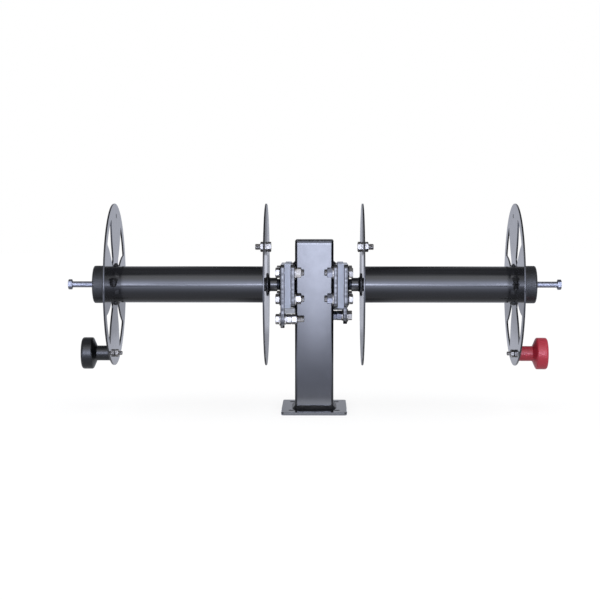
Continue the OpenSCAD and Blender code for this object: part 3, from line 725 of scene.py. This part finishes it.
def windowOutline(middle, steps=6):
    span = reel["windowOut"] - reel["windowIn"]
    right = [(reel["windowIn"] + s * span, a * reel["windowHalf"]) for s, a in windowShares]
    knots = right + [(r, -a) for r, a in right[:0:-1]]
    outline = []
    for i in range(len(knots)):
        four = [knots[(i + k) % len(knots)] for k in (-1, 0, 1, 2)]
        for j in range(steps):
            radius, angle = (spline(*[k[n] for k in four], j / steps) for n in (0, 1))
            outline.append(around(radius, math.radians(middle - angle)))
    return outline


def raggedRing(u, radius, seed):
    look = hubCollar

    def ring(angle):
        where = Vector((*around(look["coarse"], angle), seed))
        off = noise.noise(where) + noise.noise(where * look["fine"]) - look["bias"]
        return u, radius + look["ragged"] * off
    return ring


def buildFlanges(side):
    look = reel
    rim = circle(look["flangeRadius"], steps=360)
    levels = edgeLevels(look["flangeThick"], look["edge"])
    holes = [circle(look["hubRadius"]), circle(stack["boltHole"], (0, layout["studRadius"]), 32)]
    inner = plateShell([rim] + holes, levels, layout["innerFlangeAt"])
    dress(makeSidePiece(side, "inner_flange", [inner], "reel"), sheetFinish)
    holes = [circle(look["drumRadius"], steps=96)]
    holes += [circle(look["knobHole"], (0, w * layout["knobRadius"]), 32) for w in (-1, 1)]
    holes += [windowOutline((i + 0.5) * 360 / look["windows"]) for i in range(look["windows"])]
    outer = plateShell([rim] + holes, levels, layout["spoolTo"])
    makeSidePiece(side, "outer_flange", [outer], "reel")


def buildTubes(side):
    look = reel
    outR, inR = look["drumRadius"], look["drumRadius"] - look["drumWall"]
    start, end, edge, steps = layout["spoolFrom"], layout["drumEnd"], look["drumEdge"], look["drumSteps"]
    rings = [(start, inR), (start, outR - offFace)]
    rings += [(start + (end - start) * i / steps, outR) for i in range(1, steps)]
    rings += [(end - edge, outR), (end, outR - edge), (end, inR)]
    makeSidePiece(side, "drum_tube", [roundShell(rings, steps=128, hollow=True)], "reel")
    rings = tubeRings(layout["hubAt"], layout["hubEnd"], look["hubBore"], look["hubRadius"], look["hubEdge"])
    makeSidePiece(side, "hub_tube", [roundShell(rings, steps=64, hollow=True)], "reel")


def buildReelWelds(side):
    look, flange, hubR, drumR = hubCollar, layout["innerFlangeAt"], reel["hubRadius"], reel["drumRadius"]
    rings = [(flange + offFace, hubR - look["sunk"]), (flange + offFace, look["steps"][0][1] - look["foot"])]
    rings += [raggedRing(flange - out, radius, seed + 3 * sides[side]) for out, radius, seed in look["steps"]]
    rings += [(flange - look["end"], hubR + look["sunk"] / 2), (flange - look["end"], hubR - look["sunk"])]
    drumRing = ringPath(layout["spoolFrom"], drumR, 1)
    welds = [roundShell(rings, steps=96, hollow=True),
             weldShell(drumRing, (reel["drumWeld"], reel["drumWeld"]), 54 + sides[side], True)]
    for i, (middle, span, leg) in enumerate(tacks[side]):
        path = ringPath(layout["spoolTo"], drumR, -1, middle - span / 2, middle + span / 2)
        welds.append(weldShell(path, (leg, tacks["height"]), 60 + i + 5 * sides[side], look=tackLook))
    makeSidePiece(side, "reel_welds", welds, "reel", sharp=60)


def buildStud(side):
    centre = (0, layout["studRadius"])
    stud = boltShell(layout["innerFlangeAt"], 1, boltLengths["stud"], centre, turns["studHead"])
    makeSidePiece(side, "lug_stud", [stud], "reel", sharp=25)
    nut = nutShell(layout["spoolFrom"], centre, turns["studNut"])
    makeSidePiece(side, "stud_nut", [nut], "reel", sharp=25)


# soft dipped cap over the drum's end, with a rolled lip and a slightly sunken face: the skirt goes by
# (along, inset), and the face by (depth, share of the radius)
endCap = {"wall": 0.85, "edge": 2.6, "hole": 5.1625, "face": 3.0, "mouth": (0.05, 0.25),
          "skirt": [(0.1, 0.1), (0.5, 0), (2.2, 0), (2.6, 0.12), (3.4, 0.12), (3.8, 0), (12, 0.05), (20, 0)],
          "sunkShares": [(0.15, 0.8), (0.3, 0.5)], "holeLip": 1.2, "holeLipDepths": (0.1, 0.4)}


def buildEndCap(side):
    look, start, face = endCap, layout["outerFlangeOut"], layout["capFace"]
    outR, inR, edge = reel["drumRadius"] + look["wall"], reel["drumRadius"], look["edge"]
    rings = [(start + look["mouth"][0], inR), (start, inR + look["mouth"][1])]
    rings += [(start + along, outR - inset) for along, inset in look["skirt"]]
    rings += roundEdge(face - edge, outR - edge, edge, 0, 90, 8)
    rings += [(face - depth, outR * share) for depth, share in look["sunkShares"]]
    lipOut, lipIn = look["holeLipDepths"]
    rings += [(face - lipOut, look["hole"] + look["holeLip"]), (face - lipIn, look["hole"]),
              (face - look["face"], look["hole"]), (face - look["face"], inR)]
    makeSidePiece(side, "end_cap", [roundShell(rings, steps=96, hollow=True)], "reel")


# bolt that presses the brake button; its plain shank shows between head and cap
tensionSeat = 381.01


def buildTensionBolt(side):
    bolt = boltShell(tensionSeat, -1, boltLengths["tension"], turn=turns["tension"])
    dress(makeSidePiece(side, "tension_bolt", [bolt], "tension_screw", sharp=25), dullZincFinish)


# moulded crank knob on its own bolt, and the nub that the mould left on its face
knob = {"length": 49.2, "head": 24.75, "headLength": 11.2, "cone": 8.8, "coneTurn": 65, "stem": 11.7,
        "stemEdge": 0.8, "stemBreak": 0.25, "fillet": 1.0, "edge": 4.0, "edgeTurn": 64, "back": 3.5,
        "inset": 4.9, "dome": 0.9, "domeShares": [(0.55, 0.8), (0.25, 0.5)], "bore": 3.225, "pocket": 30.0,
        "gap": 0.3, "nub": [(-0.05, 3.8), (0.1, 3.2), (0.5, 2.976), (0.7, 2.56)]}


def buildKnob(side):
    look = knob
    foot, centre = layout["outerFlangeOut"] + look["gap"], (0, -layout["knobRadius"])
    front, top = foot + look["length"] - look["inset"], foot + look["length"]
    back = front - look["headLength"]
    flat, edge, near = look["head"] - look["edge"], look["stemEdge"], look["stemBreak"]
    rings = [(foot + look["pocket"], look["bore"]), (foot, look["bore"]), (foot, look["stem"] - edge)]
    rings += [(foot + near, look["stem"] - near), (foot + edge, look["stem"])]
    rings += roundEdge(back - look["cone"], look["stem"] + look["fillet"], look["fillet"], 180,
                       180 - look["coneTurn"], 5)
    rings += roundEdge(back, look["head"] - look["back"], look["back"], -look["coneTurn"], 0, 8)
    rings += roundEdge(front, flat, look["edge"], 0, look["edgeTurn"], 10)
    rings += [(top - look["dome"] * down, flat * share) for down, share in look["domeShares"]]
    rings += [(top + out, radius) for out, radius in look["nub"]]
    makeSidePiece(side, "knob", [roundShell(rings, centre, steps=96)], "crank_knob", sharp=35)
    bolt = boltShell(foot + look["pocket"], -1, boltLengths["knob"], centre, turns["knobBolt"], knobFastener)
    makeSidePiece(side, "knob_bolt", [bolt], "crank_knob", sharp=25)
    nutAt = layout["spoolTo"] - look["gap"] - knobFastener["nut"]
    nut = nutShell(nutAt, centre, turns["knobNut"], knobFastener)
    makeSidePiece(side, "knob_nut", [nut], "crank_knob", sharp=25)


buildBase()
buildPost()
print("base and post made")
for side in sides:
    for build in (buildPlates, buildInsulator, buildStandWelds, buildFasteners, buildBushes):
        build(side)
    print(side, "stack made")
    for build in (buildFlanges, buildTubes, buildReelWelds, buildStud, buildEndCap, buildTensionBolt,
                  buildKnob):
        build(side)
    print(side, "reel made")


# camera at the photograph's place: level with the reel's top, looking down a little
cameraPlace = {"location": (0.01042, -2.41174, 0.32925), "down": 3.7207, "turn": 0.7832, "lens": 92.164,
               "sensor": 36}

cameraData = bpy.data.cameras.new("camera")
cameraData.lens = cameraPlace["lens"]
cameraData.sensor_width = cameraPlace["sensor"]
camera = bpy.data.objects.new("camera", cameraData)
camera.location = cameraPlace["location"]
camera.rotation_euler = (math.radians(90 - cameraPlace["down"]), 0, math.radians(cameraPlace["turn"]))
scene.collection.objects.link(camera)
scene.camera = camera


# studio: a white room with a bright, cold window wall in front. Gloss surfaces see it as it is drawn
# here, by height and by direction; matt ones see a soft even light. Heights and directions in degrees,
# the latter from straight in front, or from straight behind for `behind`; a level may be followed by how
# cold its light is. Each pair gives where a change begins and ends.
studio = {
    "front": [(-90, 0.9, 0.4), (-12, 4.0, 0.8), (-4, 12, 1), (-1, 15, 1), (3, 16, 1), (7, 11.5, 1),
              (16, 6.4, 1), (28, 3.8, 0.7), (42, 2.5, 0.3), (55, 2.1, 0.3), (63, 1.1, 0.3), (71, 0.6, 0.3),
              (90, 0.3, 0.3)],
    "side": [(-90, 0.5, 0.3), (-6, 0.5, 0.3), (0, 0.9, 0.3), (6, 0.55, 0.3), (25, 0.35, 0.3), (90, 0.3, 0.3)],
    "back": [(-90, 0.5, 0.3), (-4, 0.90, 0.6), (2, 0.90, 0.6), (14, 0.62, 0.4), (35, 0.38, 0.3),
             (55, 0.18, 0.3), (90, 0.2, 0.3)],
    "across": [(0, 1.45), (0.8, 1.38), (1.2, 1.0), (2.2, 0.74), (4.7, 0.53), (6.6, 0.32), (6.95, 1.2),
               (7.7, 1.2), (9, 0.38), (11.3, 0.17), (12.6, 0.85), (14.2, 0.85), (15.6, 0.10), (180, 0.10)],
    "crest": [(0, 0.9), (1.5, 0.9), (2.2, 1.0), (3.2, 0.6), (5.0, 0.0), (180, 0.0)],
    "behind": [(0, 0.80), (1.2, 0.72), (2.4, 0.45), (3.8, 0.15), (5.0, 0.25), (6.6, 1.0), (180, 1.0)],
    "crestRise": (1.2, 2.4), "crestFall": (3.8, 5.2), "acrossEnd": (5, 17), "frontEnd": (15.2, 17.0),
    "backStart": (140, 155), "crestGain": 0.9, "cold": (0.735, 0.79, 1.0), "matt": (1.15, 0.75),
}


# level by a value from 0 to 1, where `place` turns a stop's own measure into such a value
def levelAt(tree, value, stops, place):
    top = max(level for _, level, *_ in stops)
    colours = []
    for at, level, *cold in stops:
        tint = [1 + sum(cold) * (c - 1) for c in studio["cold"]]
        colours.append((place(at), [level / top * c for c in tint] + [1]))
    ramp = addNode(tree, "ValToRGB", {"Fac": value}, colours)
    return addNode(tree, "VectorMath", {0: ramp, "Scale": top}, operation="SCALE")


# level by a direction, which the tree has in radians and the stops in degrees
def levelTowards(tree, away, stops):
    share = addNode(tree, "Math", {0: away, 1: math.pi}, operation="DIVIDE")
    return levelAt(tree, share, stops, lambda degrees: degrees / 180)


# whether a ray is glossy, and whether it is one that has to see the plain white background
def askRay(tree):
    rays = addNode(tree, "LightPath").outputs
    clear = addNode(tree, "Math", {0: rays["Is Camera Ray"], 1: rays["Is Transmission Ray"]},
                    operation="MAXIMUM")
    return rays["Is Glossy Ray"], clear


def buildWorld():
    world = bpy.data.worlds.new("studioRoom")
    scene.world = world
    world.use_nodes = True
    tree = world.node_tree
    tree.nodes.clear()
    direction = addNode(tree, "TexCoord").outputs["Generated"]
    axes = addNode(tree, "SeparateXYZ", {"Vector": direction}).outputs
    level = addNode(tree, "VectorMath", {0: direction, 1: (1, -1, 0)}, operation="MULTIPLY")
    level = addNode(tree, "VectorMath", {0: level}, operation="NORMALIZE")
    ahead = addNode(tree, "SeparateXYZ", {"Vector": level}).outputs["Y"]
    away = addNode(tree, "Math", {0: ahead}, operation="ARCCOSINE")
    behind = addNode(tree, "Math", {0: math.pi, 1: away}, operation="SUBTRACT")
    height = addNode(tree, "MapRange", {"Value": axes["Z"], "From Min": -1.0})

    def sine(degrees):
        return math.sin(math.radians(degrees))
    front, beside, back = (levelAt(tree, height, studio[name], lambda degrees: (sine(degrees) + 1) / 2)
                           for name in ("front", "side", "back"))
    soft = {}    # each 0 before a pair of limits and 1 after it
    for name in ("crestRise", "crestFall", "acrossEnd", "frontEnd", "backStart"):
        isTurn = name in ("frontEnd", "backStart")
        start, end = (math.radians(a) if isTurn else sine(a) for a in studio[name])
        soft[name] = addNode(tree, "MapRange", {
            "Value": away if isTurn else axes["Z"], "From Min": start, "From Max": end},
            interpolation_type="SMOOTHSTEP")

    across = addNode(tree, "Mix", {
        "Factor": soft["acrossEnd"], "A": levelTowards(tree, away, studio["across"]), "B": 1.0})
    crest = addNode(tree, "Math", {0: soft["crestRise"], 1: soft["crestFall"]}, operation="SUBTRACT")
    crest = addNode(tree, "Math", {0: crest, 1: levelTowards(tree, away, studio["crest"])},
                    operation="MULTIPLY")
    crest = addNode(tree, "Math", {0: crest, 1: studio["crestGain"], 2: 1.0}, operation="MULTIPLY_ADD")
    share = addNode(tree, "Math", {0: across, 1: crest}, operation="MULTIPLY")
    front = addNode(tree, "VectorMath", {0: front, "Scale": share}, operation="SCALE")
    back = addNode(tree, "VectorMath", {
        0: back, "Scale": levelTowards(tree, behind, studio["behind"])}, operation="SCALE")
    room = addNode(tree, "Mix", {"Factor": soft["frontEnd"], "A": front, "B": beside}, data_type="RGBA")
    room = addNode(tree, "Mix", {"Factor": soft["backStart"], "A": room, "B": back}, data_type="RGBA")

    matt = addNode(tree, "MapRange", {
        "Value": axes["Y"], "From Min": -1.0, "To Min": studio["matt"][0], "To Max": studio["matt"][1]},
        interpolation_type="SMOOTHSTEP")
    isGlossy, isClear = askRay(tree)
    seen = addNode(tree, "Mix", {"Factor": isGlossy, "A": matt, "B": room}, data_type="RGBA")
    seen = addNode(tree, "Mix", {"Factor": isClear, "A": seen, "B": (1, 1, 1, 1)}, data_type="RGBA")
    background = addNode(tree, "Background", {"Color": seen, "Strength": 1.0})
    addNode(tree, "OutputWorld", {"Surface": background})


# floor: white to the camera but for a faint shadow; gloss surfaces see it brighten towards the window
# wall, by the distance in front of the reel or behind it in metres. A band along its middle paints light
# and shade for them: `foot`, a painted pool of light in front of the post's foot, and `strip`, the stand's
# painted shadow behind it.
floorLook = {
    "size": 14, "colour": "#c8c8ca", "shadowShare": 0.35, "white": 1.26,
    "front": [(0, 0.55, 0.3), (0.17, 0.9, 0.7), (0.3, 1.6, 0.9), (0.55, 2.9, 1), (1.2, 6.0, 1), (2.0, 9.2, 1),
              (3.5, 12.8, 1), (6.5, 15, 1)],
    "back": [(0, 0.55, 0.3), (0.25, 0.7, 0.4), (1.0, 0.90, 0.6), (6.5, 0.90, 0.6)],
    # foot: a painted pool of light along the floor's middle, in front of the post's foot
    "foot": [(0, 7.0), (0.135, 6.6), (0.2, 2.5), (0.38, 1.3), (0.6, 1.0), (6.5, 1.0)],
    # strip: the stand's shadow, painted along the floor's middle behind it
    "strip": [(0, 0.45), (1.3, 0.45), (1.6, 0.7), (2.7, 0.7), (3.1, 0.42), (6.5, 0.40)],
    "footEnd": (0.05, 0.075), "stripEnd": (0.09, 0.15), "acrossStart": (0.6, 1.6),
}


def buildFloor():
    look, half = floorLook, floorLook["size"] / 2
    mesh = bpy.data.meshes.new("floor")
    corners = [(-half, -half, 0), (half, -half, 0), (half, half, 0), (-half, half, 0)]
    mesh.from_pydata(corners, [], [(0, 1, 2, 3)])
    floor = bpy.data.objects.new("floor", mesh)
    scene.collection.objects.link(floor)
    material, tree = newMaterial("paleFloor")
    where = addNode(tree, "TexCoord").outputs["Object"]
    axes = addNode(tree, "SeparateXYZ", {"Vector": where}).outputs
    ahead = addNode(tree, "Math", {0: axes["Y"], 1: -1.0}, operation="MULTIPLY")
    beside = addNode(tree, "Math", {0: axes["X"]}, operation="ABSOLUTE")
    away = addNode(tree, "Math", {0: beside, 1: ahead}, operation="ARCTAN2")
    soft = {}    # each 0 before a pair of limits and 1 after it
    for name, value in (("footEnd", beside), ("stripEnd", beside), ("acrossStart", ahead)):
        start, end = look[name]
        soft[name] = addNode(tree, "MapRange", {"Value": value, "From Min": start, "From Max": end},
                             interpolation_type="SMOOTHSTEP")
    far = look["front"][-1][0]
    halves = []
    for distance, whole, middle in ((ahead, "front", "foot"), (axes["Y"], "back", "strip")):
        near = addNode(tree, "Math", {0: distance, 1: far}, operation="DIVIDE")
        light, inMiddle = (levelAt(tree, near, look[name], lambda metres: metres / far)
                           for name in (whole, middle))
        # the band along the middle: painted light in front of the foot, painted shadow of the stand behind
        share = addNode(tree, "Mix", {"Factor": soft[middle + "End"], "A": inMiddle, "B": 1.0})
        if whole == "front":
            share = addNode(tree, "Mix", {
                "Factor": soft["acrossStart"], "A": share, "B": levelTowards(tree, away, studio["across"])})
        halves.append(addNode(tree, "VectorMath", {0: light, "Scale": share}, operation="SCALE"))
    isFront = addNode(tree, "Math", {0: ahead, 1: 0.0}, operation="GREATER_THAN")
    glowing = addNode(tree, "Mix", {"Factor": isFront, "A": halves[1], "B": halves[0]}, data_type="RGBA")

    diffuse = addNode(tree, "BsdfDiffuse", {"Color": linear(look["colour"])})
    white = addNode(tree, "Emission", {"Color": (1, 1, 1, 1), "Strength": look["white"]})
    seen = addNode(tree, "MixShader", {0: 1 - look["shadowShare"], 1: diffuse, 2: white})
    reflected = addNode(tree, "Emission", {"Color": glowing, "Strength": 1.0})
    isGlossy, isClear = askRay(tree)
    plain = addNode(tree, "MixShader", {0: isGlossy, 1: diffuse, 2: reflected})
    shader = addNode(tree, "MixShader", {0: isClear, 1: plain, 2: seen})
    addNode(tree, "OutputMaterial", {"Surface": shader})
    dress(floor, material)


# soft boxes for the matt surfaces; the gloss ones see only the room
lamps = {
    "overhead": {"place": (0.2, -0.9, 2.2), "size": (1.6, 1.0), "radiance": 1.2},
    "frontBox": {"place": (-0.9, -2.9, 1.0), "size": (1.6, 1.2), "radiance": 1.0},
}
lampAim = (0, 0, 0.19)


def buildLamps():
    for name, lamp in lamps.items():
        data = bpy.data.lights.new(name, "AREA")
        data.shape = "RECTANGLE"
        data.size, data.size_y = lamp["size"]
        data.energy = lamp["radiance"] * math.pi * data.size * data.size_y
        light = bpy.data.objects.new(name, data)
        light.location = lamp["place"]
        aim = Vector(lampAim) - light.location
        light.rotation_euler = aim.to_track_quat("-Z", "Y").to_euler()
        light.visible_glossy = False
        scene.collection.objects.link(light)


buildWorld()
buildFloor()
buildLamps()
scene.view_settings.view_transform = "Standard"
print("studio built")
